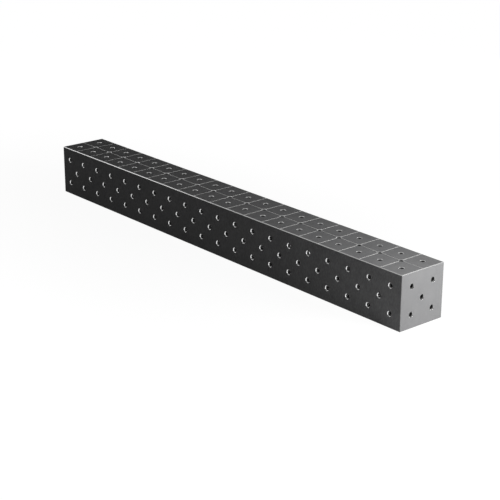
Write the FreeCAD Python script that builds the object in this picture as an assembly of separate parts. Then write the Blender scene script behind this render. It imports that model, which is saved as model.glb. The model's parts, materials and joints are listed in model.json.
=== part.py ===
"""A welding table block: a closed box of six steel plates, bored all over on a clamping grid.

The block lies along X with its base on z = 0 and its middle at x = y = 0. Its top carries
scribed grid lines. Each plate is bevelled along its outer edges and mitred inside the bevel,
so the twelve corner seams are welded from outside and machined flush with the faces.
"""
import FreeCAD, Part
import math
import os

# Overall size and plate, in millimetres
LENGTH = 2000.0
WIDTH = 200.0
HEIGHT = 200.0
PLATE_THICKNESS = 12.0

# The hole system: holes stand on a square grid and in the middle of each of its cells
GRID_PITCH = 100.0
BORE_DIAMETER = 16.0
MOUTH_CHAMFER = 2.0
HOLE_EDGE_MARGIN = 30.0

# Finish of the outside: the working top has wider chamfers than the other edges
TOP_EDGE_CHAMFER = 2.0
OTHER_EDGE_CHAMFER = 1.0
SEAM_WELD_THROAT = 5.0
SCRIBE_WIDTH = 2.0
SCRIBE_DEPTH = 1.0

# Inner ribs, which stand between two columns of holes
RIB_COUNT = 4
RIB_THICKNESS = 10.0
RIB_FRAME_WIDTH = 38.0
RIB_WINDOW_RADIUS = 20.0
RIB_CORNER_SNIPE = 12.0
RIB_WELD_LEG = 5.0

# How far a cutting shape runs past the surface that it cuts
OVERCUT = 1.0

SIZE = FreeCAD.Vector(LENGTH, WIDTH, HEIGHT)
BORE_RADIUS = BORE_DIAMETER / 2
SEAM_BEVEL = TOP_EDGE_CHAMFER + SEAM_WELD_THROAT * math.sqrt(2)

X = FreeCAD.Vector(1, 0, 0)
Y = FreeCAD.Vector(0, 1, 0)
Z = FreeCAD.Vector(0, 0, 1)

# Each face of the block as two directions along it and its outward normal
FACES = {
    "top_plate": (X, Y, Z),
    "bottom_plate": (X, -Y, -Z),
    "front_plate": (X, Z, -Y),
    "rear_plate": (-X, Z, Y),
    "end_plate_left": (-Y, Z, -X),
    "end_plate_right": (Y, Z, X),
}


def extent(direction):
    """The block's size along one of its main directions."""
    return abs(direction.dot(SIZE))


def on_face(shape, face, u=0.0, v=0.0):
    """Move a shape from the origin, where +Z points outward, to a point of a face."""
    along_u, along_v, normal = FACES[face]
    point = along_u * u + along_v * v + normal * (extent(normal) / 2)
    turn = FreeCAD.Rotation(along_u, along_v, normal, "ZXY")
    return shape.transformed(FreeCAD.Placement(point, turn).toMatrix(), True)


def edges_along(shape, direction):
    """The straight edges of a box that run along a direction."""
    return [e for e in shape.Edges if abs(e.tangentAt(e.FirstParameter).dot(direction)) > 0.999]


def chamfered_block(top_size, other_size):
    """The block's outer box, centred on the origin, with a straight chamfer along each edge."""
    box = Part.makeBox(LENGTH, WIDTH, HEIGHT, SIZE * -0.5)
    block = box
    for direction in (X, Y, Z):
        edges = edges_along(box, direction)
        top_edges = [e for e in edges if e.BoundBox.ZMin > 0]
        other_edges = [e for e in edges if e.BoundBox.ZMin <= 0]
        if top_edges:
            block = block.common(box.makeChamfer(top_size, top_edges))
        block = block.common(box.makeChamfer(other_size, other_edges))
    return block


def steps_inside(span, step, first):
    """Multiples of a step from a face's middle, every second one, clear of its edges."""
    reach = int((span / 2 - HOLE_EDGE_MARGIN) // step)
    return [i * step for i in range(-reach, reach + 1) if (i - first) % 2 == 0]


def hole_points(span_u, span_v):
    """Hole centres on a face: two square grids, one at the middle of the other's cells."""
    half_pitch = GRID_PITCH / 2
    points = []
    for first in (0, 1):
        for u in steps_inside(span_u, half_pitch, first):
            points += [(u, v) for v in steps_inside(span_v, half_pitch, first)]
    return points


def hole_cutter():
    """A bore through a plate below z = 0, with a chamfered mouth that opens upward."""
    bottom = -PLATE_THICKNESS - OVERCUT
    mouth_radius = BORE_RADIUS + MOUTH_CHAMFER + OVERCUT
    outline = [
        FreeCAD.Vector(0, 0, bottom),
        FreeCAD.Vector(BORE_RADIUS, 0, bottom),
        FreeCAD.Vector(BORE_RADIUS, 0, -MOUTH_CHAMFER),
        FreeCAD.Vector(mouth_radius, 0, OVERCUT),
        FreeCAD.Vector(0, 0, OVERCUT),
    ]
    section = Part.Face(Part.makePolygon(outline + outline[:1]))
    return section.revolve(FreeCAD.Vector(), Z, 360)


def scribe_cutter(length):
    """A groove of V section below z = 0, along X."""
    slope = SCRIBE_WIDTH / 2 / SCRIBE_DEPTH
    half_width = SCRIBE_WIDTH / 2 + OVERCUT * slope
    outline = [
        FreeCAD.Vector(0, 0, -SCRIBE_DEPTH),
        FreeCAD.Vector(0, half_width, OVERCUT),
        FreeCAD.Vector(0, -half_width, OVERCUT),
    ]
    section = Part.Face(Part.makePolygon(outline + outline[:1]))
    groove = section.extrude(X * (length + 2 * OVERCUT))
    groove.translate(X * (-length / 2 - OVERCUT))
    return groove


def scribed_grid():
    """The cutters of the grid lines on the top: along the block, and across it."""
    lines = []
    for v in steps_inside(WIDTH, GRID_PITCH / 2, 0):
        lines.append(on_face(scribe_cutter(LENGTH), "top_plate", 0, v))
    across = scribe_cutter(WIDTH)
    across.rotate(FreeCAD.Vector(), Z, 90)
    for u in steps_inside(LENGTH, GRID_PITCH / 2, 0):
        lines.append(on_face(across, "top_plate", u, 0))
    return lines


def plate_blank(face):
    """A plate whose four edges slope in at the mitre, before its outer edges are bevelled."""
    along_u, along_v, _ = FACES[face]
    outer_u, outer_v = extent(along_u) / 2, extent(along_v) / 2
    inner_u, inner_v = outer_u - PLATE_THICKNESS, outer_v - PLATE_THICKNESS
    blank = Part.makeWedge(
        -inner_u, -PLATE_THICKNESS, -inner_v, -outer_v, -outer_u,
        inner_u, 0, inner_v, outer_v, outer_u,
    )
    blank.rotate(FreeCAD.Vector(), X, 90)
    return on_face(blank, face)


def plate(face):
    """One of the six plates, with its holes, and with the scribed lines on the top one."""
    along_u, along_v, _ = FACES[face]
    cutter = hole_cutter()
    points = hole_points(extent(along_u), extent(along_v))
    tools = [on_face(cutter, face, u, v) for u, v in points]
    if face == "top_plate":
        tools += scribed_grid()
    return plate_blank(face).common(chamfered_block(SEAM_BEVEL, SEAM_BEVEL)).cut(tools)


def seam_welds():
    """The weld metal that fills the bevels along all twelve edges, chamfered outside."""
    finished = chamfered_block(TOP_EDGE_CHAMFER, OTHER_EDGE_CHAMFER)
    return finished.cut([chamfered_block(SEAM_BEVEL, SEAM_BEVEL)] + scribed_grid())


def rib_places():
    """Where the ribs stand: evenly spread, each moved to the gap between two hole columns."""
    quarter_pitch = GRID_PITCH / 4
    places = []
    for i in range(RIB_COUNT):
        even = LENGTH * ((i + 1) / (RIB_COUNT + 1) - 0.5)
        gap = 2 * math.floor(abs(even) / quarter_pitch / 2) + 1
        places.append(math.copysign(gap * quarter_pitch, even))
    return places


def rib(x):
    """A square ring across the hollow, with a rounded window and cut-off corners."""
    wide, high = WIDTH - 2 * PLATE_THICKNESS, HEIGHT - 2 * PLATE_THICKNESS
    corner = FreeCAD.Vector(x - RIB_THICKNESS / 2, -wide / 2, -high / 2)
    blank = Part.makeBox(RIB_THICKNESS, wide, high, corner)
    blank = blank.makeChamfer(RIB_CORNER_SNIPE, edges_along(blank, X))
    window = Part.makeBox(
        RIB_THICKNESS + 2 * OVERCUT, wide - 2 * RIB_FRAME_WIDTH, high - 2 * RIB_FRAME_WIDTH,
        corner + FreeCAD.Vector(-OVERCUT, RIB_FRAME_WIDTH, RIB_FRAME_WIDTH),
    )
    return blank.cut(window.makeFillet(RIB_WINDOW_RADIUS, edges_along(window, X)))


def rib_welds(x):
    """Fillet welds on both sides of a rib, to the top, front and rear plates.

    The bottom plate closes the box last, so nothing is welded to it from inside.
    """
    runs = []
    for face in ("top_plate", "front_plate", "rear_plate"):
        _, along_v, normal = FACES[face]
        length = extent(along_v) - 2 * PLATE_THICKNESS - 2 * RIB_CORNER_SNIPE
        root = normal * (extent(normal) / 2 - PLATE_THICKNESS) - along_v * (length / 2)
        for side in (-1, 1):
            start = root + X * (x + side * RIB_THICKNESS / 2)
            outline = [start, start + X * (side * RIB_WELD_LEG), start - normal * RIB_WELD_LEG]
            section = Part.Face(Part.makePolygon(outline + outline[:1]))
            runs.append(section.extrude(along_v * length))
    return Part.makeCompound(runs)


def build():
    """Every piece of the block, by name, about the block's centre."""
    pieces = {face: plate(face) for face in FACES}
    pieces["seam_welds"] = seam_welds()
    for number, x in enumerate(rib_places(), 1):
        pieces[f"rib_{number}"] = rib(x)
        pieces[f"rib_{number}_welds"] = rib_welds(x)
    return pieces


def main():
    os.makedirs("parts", exist_ok=True)
    for name, shape in build().items():
        shape.translate(Z * (HEIGHT / 2))
        shape.exportStep(f"parts/{name}.step")
        print(name, len(shape.Solids), shape.isValid(), round(shape.Volume))


main()
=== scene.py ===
"""The looks of a welding table block: its plates and seams, finishes, lights and camera."""
import json
import math
import bmesh
import bpy
from mathutils import Matrix, Vector


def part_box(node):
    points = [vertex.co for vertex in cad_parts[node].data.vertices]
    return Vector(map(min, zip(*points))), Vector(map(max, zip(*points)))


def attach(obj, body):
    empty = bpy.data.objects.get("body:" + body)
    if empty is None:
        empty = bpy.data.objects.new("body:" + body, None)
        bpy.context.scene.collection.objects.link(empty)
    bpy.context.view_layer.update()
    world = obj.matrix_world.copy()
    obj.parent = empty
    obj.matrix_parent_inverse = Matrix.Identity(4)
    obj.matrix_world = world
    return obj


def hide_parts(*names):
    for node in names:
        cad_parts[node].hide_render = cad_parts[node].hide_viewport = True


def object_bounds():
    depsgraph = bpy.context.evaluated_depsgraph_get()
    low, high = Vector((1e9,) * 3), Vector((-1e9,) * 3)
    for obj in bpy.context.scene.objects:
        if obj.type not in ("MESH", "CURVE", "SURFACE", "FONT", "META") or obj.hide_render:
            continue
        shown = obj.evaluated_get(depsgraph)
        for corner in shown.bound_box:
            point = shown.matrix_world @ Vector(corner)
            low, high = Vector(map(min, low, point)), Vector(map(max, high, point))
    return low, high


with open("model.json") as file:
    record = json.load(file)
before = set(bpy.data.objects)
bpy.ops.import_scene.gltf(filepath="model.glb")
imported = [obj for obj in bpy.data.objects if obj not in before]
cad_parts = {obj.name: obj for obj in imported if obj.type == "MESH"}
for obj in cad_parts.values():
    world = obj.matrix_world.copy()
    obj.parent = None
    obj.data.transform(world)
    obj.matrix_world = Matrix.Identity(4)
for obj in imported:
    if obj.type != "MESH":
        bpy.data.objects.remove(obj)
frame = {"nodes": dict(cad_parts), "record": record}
cad_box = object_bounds()

# Sizes that come from the frame, in metres
LOW, HIGH = cad_box
MIDDLE = (LOW + HIGH) / 2
HALF = (HIGH - LOW) / 2
TOP_LOW, TOP_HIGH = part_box("top_plate")
PLATE = TOP_HIGH.z - TOP_LOW.z
SEAM_BEVEL = 2 * (HIGH.x - TOP_HIGH.x)

# Machined details, in metres
MOUTH_CHAMFER = 0.002
MOUTH_ROUNDING = 0.0001
TOP_EDGE_CHAMFER = 0.002
OTHER_EDGE_CHAMFER = 0.001
SCRIBE_WIDTH = 0.002
SCRIBE_DEPTH = 0.001
GRID_PITCH = 0.1

# Fineness of the round shapes, how far a cutter runs past a surface, and the sharp edges' angle
HOLE_SEGMENTS = 40
ARC_STEPS = 3
OVERCUT = 0.001
SHARP_ANGLE = math.radians(40)

X, Y, Z = Vector((1, 0, 0)), Vector((0, 1, 0)), Vector((0, 0, 1))
FACES = {
    "top_plate": Z,
    "bottom_plate": -Z,
    "front_plate": -Y,
    "rear_plate": Y,
    "end_plate_left": -X,
    "end_plate_right": X,
}
SIDES = list(FACES.values())

# Material places on a plate, and on the seams, where the first three are for faces across X, Y, Z
FACE, MOUTH, BORE, SCRIBE = range(4)
SEAM_CHAMFER, SEAM_SCRIBE = 3, 4


def half_size(direction):
    """Half of the block's size along one of its main directions."""
    return abs(direction.dot(HALF))


def hole_places():
    """The holes' centres and radius on each side, as the record's mounts give them."""
    places = {tuple(side): set() for side in SIDES}
    radius = 0
    for mount in frame["record"]["mounts"]:
        if mount["kind"] not in ("bolt_pattern", "bore"):
            continue
        dims = mount["dims"]
        radius = dims.get("hole_r_mm", dims.get("r_mm")) / 1000
        side = Vector(mount["axis"])
        first, second = [axis for axis in (X, Y, Z) if abs(axis.dot(side)) < 0.5]
        steps_u = steps(dims.get("spacing_x_mm"))
        steps_v = steps(dims.get("spacing_y_mm"))
        for u in steps_u:
            for v in steps_v:
                point = Vector(mount["pos_m"]) + first * u + second * v
                point += side * (half_size(side) - (point - MIDDLE).dot(side))
                places[tuple(side)].add(tuple(round(c, 5) for c in point))
    return {side: sorted(points) for side, points in places.items()}, radius


def steps(spacing):
    """Half a spacing each way in metres, or nothing where the pattern states no spacing."""
    return [0] if not spacing else [-spacing / 2000, spacing / 2000]


HOLES, BORE_RADIUS = hole_places()


def slice_off(bm, point, normal):
    """Cut away what lies beyond a plane, and close the convex body again."""
    geom = bm.verts[:] + bm.edges[:] + bm.faces[:]
    cut = bmesh.ops.bisect_plane(bm, geom=geom, plane_co=point, plane_no=normal, clear_outer=True)
    rim = [item for item in cut["geom_cut"] if isinstance(item, bmesh.types.BMEdge)]
    if rim:
        bmesh.ops.contextual_create(bm, geom=rim)


def block_body(top_chamfer, other_chamfer):
    """The block's outer body with a straight chamfer along each edge."""
    bm = bmesh.new()
    bmesh.ops.create_cube(bm, size=1, matrix=Matrix.LocRotScale(MIDDLE, None, HALF * 2))
    for i, one in enumerate(SIDES):
        for other in SIDES[i + 1:]:
            if abs(one.dot(other)) > 0.5:
                continue
            chamfer = top_chamfer if Z in (one, other) else other_chamfer
            corner = MIDDLE + one * half_size(one) + other * half_size(other)
            slice_off(bm, corner - one * chamfer, one + other)
    return bm


def plate_body(side):
    """A plate on one side of the block: bevelled along its outer edges, mitred below them."""
    bm = bmesh.new()
    bmesh.ops.create_cube(bm, size=1, matrix=Matrix.LocRotScale(MIDDLE, None, HALF * 2))
    face = MIDDLE + side * half_size(side)
    slice_off(bm, face - side * PLATE, -side)
    for other in SIDES:
        if abs(side.dot(other)) > 0.5:
            continue
        corner = face + other * half_size(other)
        slice_off(bm, corner - other * SEAM_BEVEL, side + other)
        slice_off(bm, corner, other - side)
    return bm


def hole_profile():
    """A hole's outline from inside to outside, as radius and height over the face."""
    reach = MOUTH_ROUNDING * math.tan(math.pi / 8)
    points = []
    lower = (BORE_RADIUS + MOUTH_ROUNDING, -MOUTH_CHAMFER - reach)
    upper = (BORE_RADIUS + MOUTH_CHAMFER + reach, -MOUTH_ROUNDING)
    for centre, start in ((lower, math.pi), (upper, 3 * math.pi / 4)):
        for i in range(ARC_STEPS + 1):
            angle = start - math.pi / 4 * i / ARC_STEPS
            points.append((
                centre[0] + MOUTH_ROUNDING * math.cos(angle),
                centre[1] + MOUTH_ROUNDING * math.sin(angle),
            ))
    return points


def hole_cutter(bm, centre, side):
    """Add the cutter of one hole to a mesh."""
    turn = Z.rotation_difference(side).to_matrix()
    profile = hole_profile()
    past = OVERCUT * math.tan(math.pi / 8 / ARC_STEPS)
    outline = [(BORE_RADIUS, -PLATE - OVERCUT)] + profile[:-1]
    outline += [(profile[-1][0] + OVERCUT, past), (profile[-1][0] + OVERCUT, OVERCUT)]
    rings = []
    for radius, height in outline:
        ring = []
        for i in range(HOLE_SEGMENTS):
            angle = 2 * math.pi * i / HOLE_SEGMENTS
            local = Vector((radius * math.cos(angle), radius * math.sin(angle), height))
            ring.append(bm.verts.new(Vector(centre) + turn @ local))
        rings.append(ring)
    for level, (inner, outer) in enumerate(zip(rings, rings[1:])):
        for i in range(HOLE_SEGMENTS):
            j = (i + 1) % HOLE_SEGMENTS
            face = bm.faces.new((inner[i], inner[j], outer[j], outer[i]))
            face.material_index = MOUTH if level > ARC_STEPS else BORE
    bm.faces.new(rings[0][::-1])
    bm.faces.new(rings[-1])


def scribe_cutter(bm, middle, along, length, finish):
    """Add the cutter of one scribed line on the top to a mesh: a groove of V section."""
    across = Z.cross(along)
    slope = SCRIBE_WIDTH / 2 / SCRIBE_DEPTH
    wide = across * (SCRIBE_WIDTH / 2 + OVERCUT * slope) + Z * OVERCUT
    section = [Z * -SCRIBE_DEPTH, wide, wide - across * 2 * wide.dot(across)]
    ends = []
    for sign in (-1, 1):
        start = middle + along * sign * (length / 2 + OVERCUT)
        ends.append([bm.verts.new(start + point) for point in section])
    faces = [bm.faces.new(ends[0]), bm.faces.new(ends[1][::-1])]
    for i in range(3):
        j = (i + 1) % 3
        faces.append(bm.faces.new((ends[0][i], ends[1][i], ends[1][j], ends[0][j])))
    for face in faces:
        face.material_index = finish


def scribed_grid(bm, finish):
    """Add the cutters of the top's grid lines: one along the block, the rest across it."""
    centre = MIDDLE + Z * half_size(Z)
    scribe_cutter(bm, centre, X, 2 * half_size(X), finish)
    reach = math.ceil(half_size(X) / GRID_PITCH) - 1
    for i in range(-reach, reach + 1):
        scribe_cutter(bm, centre + X * GRID_PITCH * i, Y, 2 * half_size(Y), finish)


def to_object(name, bm, materials):
    """A mesh object with outward faces from a bmesh."""
    bmesh.ops.recalc_face_normals(bm, faces=bm.faces[:])
    mesh = bpy.data.meshes.new(name)
    bm.to_mesh(mesh)
    bm.free()
    for material in materials:
        mesh.materials.append(material)
    obj = bpy.data.objects.new(name, mesh)
    bpy.context.scene.collection.objects.link(obj)
    return obj


def cut_away(obj, cutter):
    """Take one object's space out of another's mesh, and delete the cutter."""
    modifier = obj.modifiers.new("cut", "BOOLEAN")
    modifier.operation = "DIFFERENCE"
    modifier.solver = "MANIFOLD"
    modifier.object = cutter
    graph = bpy.context.evaluated_depsgraph_get()
    mesh = bpy.data.meshes.new_from_object(obj.evaluated_get(graph))
    obj.modifiers.clear()
    old = obj.data
    obj.data = mesh
    bpy.data.meshes.remove(old)
    bpy.data.objects.remove(cutter)


def finish_piece(obj, node):
    """Smooth shading that keeps the flats flat, and the piece's place in the frame."""
    obj.data.name = obj.name
    obj.data.shade_smooth()
    obj.data.set_sharp_from_angle(angle=SHARP_ANGLE)
    weighted = obj.modifiers.new("weighted normals", "WEIGHTED_NORMAL")
    weighted.keep_sharp = True
    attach(obj, "root")
    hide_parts(node)


# Grain sizes of the nitrided finish's patterns, in metres
CLOUD = 0.11
PATCH = 0.035
SPECK = 0.003
STREAK_WIDTH, STREAK_LENGTH = 0.006, 0.15
LINE_WIDTH, LINE_LENGTH = 0.0006, 0.04

# The nitrided finish: how far its tone spreads each way, its colours and its weak gloss
NITRIDED_SPREAD = 0.3
NITRIDED_DARK, NITRIDED_LIGHT = (0.1, 0.1, 0.102), (0.148, 0.148, 0.149)
NITRIDED_SPECULAR = 0.004

# Grain sizes on the turned and cut steel, in metres
TURNING_MARK, TURNING_MARK_LENGTH = 0.00012, 0.02
BRIGHT_PATCH = 0.004
BORE_PATCH = 0.006
SCRIBE_MOTTLE = 0.0015

# Grain sizes on the hidden ribs and their beads, in metres, and the ripples' wave scale
MILL_PATCH, MILL_SPECK = 0.02, 0.0015
BEAD_PATCH = 0.008
RIPPLE_SCALE = 90.0


def new_material(name):
    """A new material with its node tree and its shader."""
    material = bpy.data.materials.new(name)
    material.use_nodes = True
    tree = material.node_tree
    return material, tree, tree.nodes["Principled BSDF"]


def add(tree, kind, inputs, output=0, **settings):
    """Add a node, set or link its inputs, and return one of its outputs."""
    made = tree.nodes.new(kind)
    for key, value in settings.items():
        setattr(made, key, value)
    for key, value in inputs.items():
        if isinstance(value, bpy.types.NodeSocket):
            tree.links.new(value, made.inputs[key])
        else:
            made.inputs[key].default_value = value
    return made.outputs[output]


def grain(tree, sizes, detail=2.0):
    """Noise whose grains have these sizes along X, Y and Z, in metres."""
    place = add(tree, "ShaderNodeTexCoord", {}, "Object")
    scale = [1 / size for size in sizes]
    scaled = add(tree, "ShaderNodeVectorMath", {0: place, 1: scale}, operation="MULTIPLY")
    return add(tree, "ShaderNodeTexNoise", {"Vector": scaled, "Scale": 1.0, "Detail": detail})


def ranged(tree, value, low, high, start=0.3, stop=0.7):
    """Map the middle of a noise's range to a range of values."""
    limits = {"Value": value, "From Min": start, "From Max": stop, "To Min": low, "To Max": high}
    return add(tree, "ShaderNodeMapRange", limits, interpolation_type="SMOOTHSTEP")


def weighed(tree, *terms):
    """The sum of noises, each times its weight."""
    total = 0.0
    for value, weight in terms:
        terms_in = {0: value, 1: weight, 2: total}
        total = add(tree, "ShaderNodeMath", terms_in, operation="MULTIPLY_ADD")
    return total


def blend_colours(tree, factor, dark, light):
    """A colour between a dark and a light one."""
    made = tree.nodes.new("ShaderNodeMix")
    made.data_type = "RGBA"
    tree.links.new(factor, made.inputs[0])
    made.inputs[6].default_value = (*dark, 1)
    made.inputs[7].default_value = (*light, 1)
    return made.outputs[2]


def bump(tree, height, strength, distance):
    """A normal that follows a height, for detail far finer than the mesh."""
    inputs = {"Height": height, "Strength": strength, "Distance": distance}
    return add(tree, "ShaderNodeBump", inputs, "Normal")


def stretched(axis, width, length):
    """Grain sizes of streaks that run along an axis."""
    return [length if abs(axis[i]) > 0.5 else width for i in range(3)]


def nitrided(name, along, cloudy, streaky, mottled):
    """Nitrided ground steel: clouds, streaks along an axis and mottling, each with a weight."""
    material, tree, shader = new_material(name)
    cloud = grain(tree, (CLOUD, CLOUD, CLOUD))
    patch = grain(tree, (PATCH, PATCH, PATCH), 4.0)
    speck = grain(tree, stretched(along, SPECK, 3 * SPECK), 2.0)
    streak = grain(tree, stretched(along, STREAK_WIDTH, STREAK_LENGTH), 3.0)
    line = grain(tree, stretched(along, LINE_WIDTH, LINE_LENGTH), 2.0)
    parts = (
        (cloud, cloudy), (patch, cloudy), (streak, streaky), (line, streaky), (speck, mottled),
    )
    middle = sum(weight for _, weight in parts) / 2
    start, stop = middle - NITRIDED_SPREAD, middle + NITRIDED_SPREAD
    tone = ranged(tree, weighed(tree, *parts), 0, 1, start, stop)
    colour = blend_colours(tree, tone, NITRIDED_DARK, NITRIDED_LIGHT)
    tree.links.new(colour, shader.inputs["Base Color"])
    gloss = weighed(tree, (patch, 0.5), (line, 0.5))
    tree.links.new(ranged(tree, gloss, 0.42, 0.55), shader.inputs["Roughness"])
    shader.inputs["Specular IOR Level"].default_value = NITRIDED_SPECULAR
    tree.links.new(bump(tree, line, 0.25, 0.00006), shader.inputs["Normal"])
    return material


def bright(name, side, tone_low, tone_high):
    """Bare turned steel, with fine marks that follow the depth below a face."""
    material, tree, shader = new_material(name)
    marks = grain(tree, stretched(side, TURNING_MARK_LENGTH, TURNING_MARK), 1.0)
    patch = grain(tree, (BRIGHT_PATCH, BRIGHT_PATCH, BRIGHT_PATCH), 3.0)
    tone = weighed(tree, (marks, 0.5), (patch, 0.5))
    colour = blend_colours(tree, ranged(tree, tone, 0, 1), [tone_low] * 3, [tone_high] * 3)
    tree.links.new(colour, shader.inputs["Base Color"])
    shader.inputs["Metallic"].default_value = 1
    tree.links.new(ranged(tree, tone, 0.17, 0.25), shader.inputs["Roughness"])
    tree.links.new(bump(tree, marks, 0.2, 0.00002), shader.inputs["Normal"])
    return material


def bored(name, side, tone_low, tone_high):
    """The dull wall of a bore, with the marks of the tool round it."""
    material, tree, shader = new_material(name)
    marks = grain(tree, stretched(side, TURNING_MARK_LENGTH, 2 * TURNING_MARK), 1.0)
    patch = grain(tree, (BORE_PATCH, BORE_PATCH, BORE_PATCH), 3.0)
    tone = ranged(tree, weighed(tree, (marks, 0.5), (patch, 0.5)), 0, 1)
    colour = blend_colours(tree, tone, [tone_low] * 3, [tone_high] * 3)
    tree.links.new(colour, shader.inputs["Base Color"])
    shader.inputs["Metallic"].default_value = 0.4
    tree.links.new(ranged(tree, patch, 0.36, 0.5), shader.inputs["Roughness"])
    tree.links.new(bump(tree, marks, 0.3, 0.00004), shader.inputs["Normal"])
    return material


def scribed():
    """The bare steel in the scribed lines, duller than the turned chamfers."""
    material, tree, shader = new_material("scribed_line")
    mottle = grain(tree, (SCRIBE_MOTTLE, SCRIBE_MOTTLE, SCRIBE_MOTTLE), 4.0)
    tone = ranged(tree, mottle, 0, 1)
    colour = blend_colours(tree, tone, (0.62, 0.617, 0.61), (0.8, 0.797, 0.79))
    tree.links.new(colour, shader.inputs["Base Color"])
    shader.inputs["Metallic"].default_value = 0.7
    tree.links.new(ranged(tree, mottle, 0.28, 0.4), shader.inputs["Roughness"])
    tree.links.new(bump(tree, mottle, 0.3, 0.00005), shader.inputs["Normal"])
    return material


def mill_finish():
    """Hot-rolled steel of the inner ribs: a dull scale with worn patches."""
    material, tree, shader = new_material("mill_finish")
    patch = grain(tree, (MILL_PATCH, MILL_PATCH, MILL_PATCH), 6.0)
    speck = grain(tree, (MILL_SPECK, MILL_SPECK, MILL_SPECK), 3.0)
    tone = weighed(tree, (patch, 0.6), (speck, 0.4))
    blend = ranged(tree, tone, 0, 1)
    colour = blend_colours(tree, blend, (0.085, 0.085, 0.09), (0.2, 0.195, 0.19))
    tree.links.new(colour, shader.inputs["Base Color"])
    shader.inputs["Metallic"].default_value = 0.4
    tree.links.new(ranged(tree, tone, 0.5, 0.75), shader.inputs["Roughness"])
    tree.links.new(bump(tree, speck, 0.4, 0.0002), shader.inputs["Normal"])
    return material


def weld_bead():
    """A welded bead: even ripples along every run, with darker heat marks."""
    material, tree, shader = new_material("rippled_bead")
    place = add(tree, "ShaderNodeTexCoord", {}, "Object")
    ripple = add(tree, "ShaderNodeTexWave", {
        "Vector": place, "Scale": RIPPLE_SCALE, "Distortion": 2.5, "Detail": 2.0,
        "Detail Scale": 1.5,
    }, "Fac", bands_direction="DIAGONAL")
    patch = grain(tree, (BEAD_PATCH, BEAD_PATCH, BEAD_PATCH), 4.0)
    tone = weighed(tree, (ripple, 0.5), (patch, 0.5))
    blend = ranged(tree, tone, 0, 1)
    colour = blend_colours(tree, blend, (0.14, 0.135, 0.13), (0.34, 0.33, 0.32))
    tree.links.new(colour, shader.inputs["Base Color"])
    shader.inputs["Metallic"].default_value = 0.8
    tree.links.new(ranged(tree, tone, 0.35, 0.6), shader.inputs["Roughness"])
    tree.links.new(bump(tree, ripple, 0.6, 0.0006), shader.inputs["Normal"])
    return material


# For the faces across each axis: name, the axis, the streaks' axis, the weights of clouds, streaks
# and mottling, and the darkest and lightest tone of the hole mouths and of the bores. These mouth
# and bore tones are painted light and shade on one steel: darker mouths on the ends, darker bores
# on the top, lighter bores on the front and rear.
FINISH_TABLE = (
    ("end", X, Z, (0.15, 0.06, 0.05), (0.33, 0.41), (0.05, 0.085)),
    ("side", Y, Z, (0.25, 0.15, 0.9), (0.74, 0.86), (0.21, 0.3)),
    ("flat", Z, Y, (0.25, 0.15, 0.3), (0.78, 0.88), (0.03, 0.045)),
)
EDGE_TONES = (0.66, 0.78)


def finishes():
    """The materials of the machined pieces, one set for the faces across each main axis, whose
    hole mouths and bores carry painted light and shade in their tones.
    """
    sets = {}
    for name, side, along, strengths, mouth_tones_painted_per_side, bore_tones_painted_per_side in FINISH_TABLE:
        # each side's bright and bored copies differ in tone only by painted light and shade
        sets[tuple(side)] = [
            nitrided("nitrided_" + name, along, *strengths),
            bright("bright_" + name, side, *mouth_tones_painted_per_side),
            bored("bored_" + name, side, *bore_tones_painted_per_side),
        ]
    return sets


FINISHES = finishes()
BRIGHT_EDGE = bright("bright_edge", Z, *EDGE_TONES)
SCRIBED_LINE = scribed()
MILL_FINISH = mill_finish()
WELD_BEAD = weld_bead()


def finish_of(side):
    """The set of materials for a face."""
    return FINISHES[tuple(abs(c) for c in side)]


def make_plate(node):
    """One finished plate: its holes, and on the top one its scribed lines."""
    side = FACES[node]
    materials = finish_of(side) + ([SCRIBED_LINE] if node == "top_plate" else [])
    obj = to_object(node + "_finished", plate_body(side), materials)
    cutters = bmesh.new()
    for centre in HOLES[tuple(side)]:
        hole_cutter(cutters, centre, side)
    cut_away(obj, to_object("holes", cutters, materials))
    if node == "top_plate":
        lines = bmesh.new()
        scribed_grid(lines, SCRIBE)
        cut_away(obj, to_object("lines", lines, materials))
    finish_piece(obj, node)


def mark_finishes(bm):
    """Give each face the finish of its direction, and the chamfers round the top a bright one."""
    for face in bm.faces:
        across = max(range(3), key=lambda i: abs(face.normal[i]))
        chamfer = 0.1 < face.normal.z < 0.95
        face.material_index = SEAM_CHAMFER if chamfer else across


def make_seams():
    """The flush weld seams along all edges, with the block's chamfers."""
    materials = [finish_of(side)[FACE] for side in (X, Y, Z)] + [BRIGHT_EDGE, SCRIBED_LINE]
    outer = block_body(TOP_EDGE_CHAMFER, OTHER_EDGE_CHAMFER)
    bmesh.ops.recalc_face_normals(outer, faces=outer.faces[:])
    mark_finishes(outer)
    obj = to_object("seam_welds_finished", outer, materials)
    cut_away(obj, to_object("bevels", block_body(SEAM_BEVEL, SEAM_BEVEL), materials))
    lines = bmesh.new()
    scribed_grid(lines, SEAM_SCRIBE)
    cut_away(obj, to_object("lines", lines, materials))
    finish_piece(obj, "seam_welds")


for node in FACES:
    make_plate(node)
make_seams()
for node, obj in frame["nodes"].items():
    if node.startswith("rib"):
        for place in obj.material_slots:
            place.material = WELD_BEAD if node.endswith("welds") else MILL_FINISH

# The camera as fitted to the photo: lens in millimetres, angles in degrees, places in metres
CAM_LENS = 99.59
CAM_AZIMUTH, CAM_ELEVATION, CAM_ROLL = 49.8, 19.96, 0.156
CAM_DISTANCE = 5.2297
CAM_TARGET = Vector((0.1189, 0, 0.01886))


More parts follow.
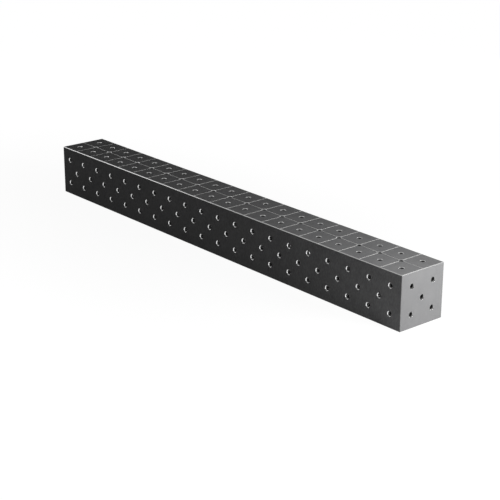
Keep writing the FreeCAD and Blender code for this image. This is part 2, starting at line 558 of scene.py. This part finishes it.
def add_camera():
    """The camera, looking at its target from the fitted side and distance."""
    a, e, r = (math.radians(v) for v in (CAM_AZIMUTH, CAM_ELEVATION, CAM_ROLL))
    back = Vector((math.sin(a) * math.cos(e), -math.cos(a) * math.cos(e), math.sin(e)))
    right = Vector((math.cos(a), math.sin(a), 0))
    up = back.cross(right)
    rolled = right * math.cos(r) + up * math.sin(r)
    upright = up * math.cos(r) - right * math.sin(r)
    data = bpy.data.cameras.new("camera")
    data.lens = CAM_LENS
    camera = bpy.data.objects.new("camera", data)
    turn = Matrix((rolled, upright, back)).transposed()
    camera.matrix_world = Matrix.Translation(CAM_TARGET + back * CAM_DISTANCE) @ turn.to_4x4()
    bpy.context.scene.collection.objects.link(camera)
    bpy.context.scene.camera = camera


add_camera()

# The floor: its size in metres, its greys for light and for the eye, and its glow, which rises
# from beside the block outward over an oval that is longer along the block; the dimmer glow beside
# the block is a painted shade round it
FLOOR_HALF_SIZE = 60
FLOOR_BOUNCE, FLOOR_PALE = (0.5, 0.5, 0.5, 1), (0.05, 0.05, 0.05, 1)
GLOW_BESIDE_BLOCK_PAINTED_SHADE = 0.95
GLOW_OVAL = (0.45, 1, 1)
GLOW_RISES_FROM, GLOW_RISES_TO = 0.3, 1.2

# The sky lights nothing. What is seen of it is white, and dim from a little above the horizon.
WHITE = (1, 1, 1, 1)
WORLD_LIGHT = 0.0
SKY_WHITE = 1.0
SKY_DIM = 0.3
SKY_WHITE_UP_TO = 0.2
SKY_DIM_FROM = 0.27


def seen_directly(nodes, links):
    """1 for a camera, glossy or transmission ray, and 0 for any other."""
    path = nodes.new("ShaderNodeLightPath")
    first = nodes.new("ShaderNodeMath")
    first.operation = "MAXIMUM"
    second = nodes.new("ShaderNodeMath")
    second.operation = "MAXIMUM"
    links.new(path.outputs["Is Camera Ray"], first.inputs[0])
    links.new(path.outputs["Is Glossy Ray"], first.inputs[1])
    links.new(first.outputs[0], second.inputs[0])
    links.new(path.outputs["Is Transmission Ray"], second.inputs[1])
    return second.outputs[0]


def make_world():
    """The sky: white for the eye near the horizon, and without light of its own."""
    world = bpy.data.worlds.new("studio")
    bpy.context.scene.world = world
    world.use_nodes = True
    nodes, links = world.node_tree.nodes, world.node_tree.links
    nodes.clear()
    place = nodes.new("ShaderNodeTexCoord")
    split = nodes.new("ShaderNodeSeparateXYZ")
    links.new(place.outputs["Generated"], split.inputs[0])
    fade = nodes.new("ShaderNodeMapRange")
    fade.interpolation_type = "SMOOTHSTEP"
    fade.inputs["From Min"].default_value = SKY_WHITE_UP_TO
    fade.inputs["From Max"].default_value = SKY_DIM_FROM
    fade.inputs["To Min"].default_value = SKY_WHITE
    fade.inputs["To Max"].default_value = SKY_DIM
    links.new(split.outputs["Z"], fade.inputs["Value"])
    plain = nodes.new("ShaderNodeBackground")
    plain.inputs["Strength"].default_value = WORLD_LIGHT
    sky = nodes.new("ShaderNodeBackground")
    links.new(fade.outputs["Result"], sky.inputs["Strength"])
    sky.inputs["Color"].default_value = WHITE
    plain.inputs["Color"].default_value = WHITE
    mix = nodes.new("ShaderNodeMixShader")
    links.new(seen_directly(nodes, links), mix.inputs[0])
    links.new(plain.outputs[0], mix.inputs[1])
    links.new(sky.outputs[0], mix.inputs[2])
    out = nodes.new("ShaderNodeOutputWorld")
    links.new(mix.outputs[0], out.inputs["Surface"])


def make_floor():
    """A wide white floor, which keeps a shallow shadow of the block, with a painted shade in its
    dimmer glow beside the block.
    """
    mesh = bpy.data.meshes.new("floor")
    h = FLOOR_HALF_SIZE
    mesh.from_pydata([(-h, -h, 0), (h, -h, 0), (h, h, 0), (-h, h, 0)], [], [(0, 1, 2, 3)])
    floor = bpy.data.objects.new("floor", mesh)
    bpy.context.scene.collection.objects.link(floor)
    material = bpy.data.materials.new("floor")
    material.use_nodes = True
    nodes, links = material.node_tree.nodes, material.node_tree.links
    nodes.clear()
    bounce = nodes.new("ShaderNodeBsdfDiffuse")
    bounce.inputs["Color"].default_value = FLOOR_BOUNCE
    pale = nodes.new("ShaderNodeBsdfDiffuse")
    pale.inputs["Color"].default_value = FLOOR_PALE
    glow = nodes.new("ShaderNodeEmission")
    place = nodes.new("ShaderNodeTexCoord")
    squeeze = nodes.new("ShaderNodeVectorMath")
    squeeze.operation = "MULTIPLY"
    squeeze.inputs[1].default_value = GLOW_OVAL
    links.new(place.outputs["Object"], squeeze.inputs[0])
    far = nodes.new("ShaderNodeVectorMath")
    far.operation = "LENGTH"
    links.new(squeeze.outputs["Vector"], far.inputs[0])
    # the glow is painted dimmer beside the block: a painted shade round it
    rise = nodes.new("ShaderNodeMapRange")
    rise.interpolation_type = "SMOOTHSTEP"
    rise.inputs["From Min"].default_value = GLOW_RISES_FROM
    rise.inputs["From Max"].default_value = GLOW_RISES_TO
    rise.inputs["To Min"].default_value = GLOW_BESIDE_BLOCK_PAINTED_SHADE
    rise.inputs["To Max"].default_value = 1.0
    links.new(far.outputs["Value"], rise.inputs["Value"])
    links.new(rise.outputs["Result"], glow.inputs["Strength"])
    seen = nodes.new("ShaderNodeAddShader")
    links.new(pale.outputs[0], seen.inputs[0])
    links.new(glow.outputs[0], seen.inputs[1])
    mix = nodes.new("ShaderNodeMixShader")
    links.new(seen_directly(nodes, links), mix.inputs[0])
    links.new(bounce.outputs[0], mix.inputs[1])
    links.new(seen.outputs[0], mix.inputs[2])
    out = nodes.new("ShaderNodeOutputMaterial")
    links.new(mix.outputs[0], out.inputs["Surface"])
    mesh.materials.append(material)


make_world()
make_floor()


def softbox(name, place, aim, size, watts, along=Y, mirrored=True):
    """A soft lamp whose first size runs along a direction, unseen by the camera.

    One that isn't mirrored doesn't show in reflections either.
    """
    light = bpy.data.lights.new(name, "AREA")
    light.shape = "RECTANGLE"
    light.size, light.size_y = size
    light.energy = watts
    back = (Vector(place) - Vector(aim)).normalized()
    first = Vector(along)
    first = (first - back * first.dot(back)).normalized()
    turn = Matrix((first, back.cross(first), back)).transposed()
    obj = bpy.data.objects.new(name, light)
    obj.matrix_world = Matrix.Translation(place) @ turn.to_4x4()
    bpy.context.scene.collection.objects.link(obj)
    obj.visible_camera = False
    obj.visible_glossy = mirrored


# A large lamp beyond the right end, and a small one over it that would be a glint in reflections
softbox("key", (2.6, 0.6, 0.8), (0.9, 0, 0.1), (0.9, 0.9), 91)
softbox("near_end", (1.4, -0.2, 1.0), (0.95, 0, 0.2), (0.22, 0.22), 7.3, mirrored=False)
# The front face is lit weakly along its whole length
softbox("front", (2.2, -2.4, 0.4), (0.5, 0, 0.1), (1.6, 0.8), 4.1, X)
softbox("front_far", (-1.8, -2.6, 0.3), (-0.7, 0, 0.1), (1.8, 0.6), 6.5, X)
# Strips overhead that the top edges, the hole mouths and the scribed lines mirror
softbox("edge_far", (-3.8, -1.07, 2.05), (-3.8, -0.1, 0.2), (2.6, 0.4), 3.5, X)
softbox("edge_near", (-1.0, -1.07, 2.05), (-1.0, -0.1, 0.2), (2.8, 0.4), 1.15, X)
softbox("cross", (0.9, 1.6, 2.05), (0.9, 0, 0.2), (2.8, 0.4), 2.9, (0.94, 0.33, 0))
# Fills for the sides that the photo does not show
softbox("rear", (0.0, 3.5, 0.3), (0, 0, 0.1), (3.0, 0.6), 30, X)
softbox("left", (-3.6, 0.3, 0.25), (-1, 0, 0.1), (1.2, 0.4), 12)

bpy.context.scene.view_settings.view_transform = "Standard"
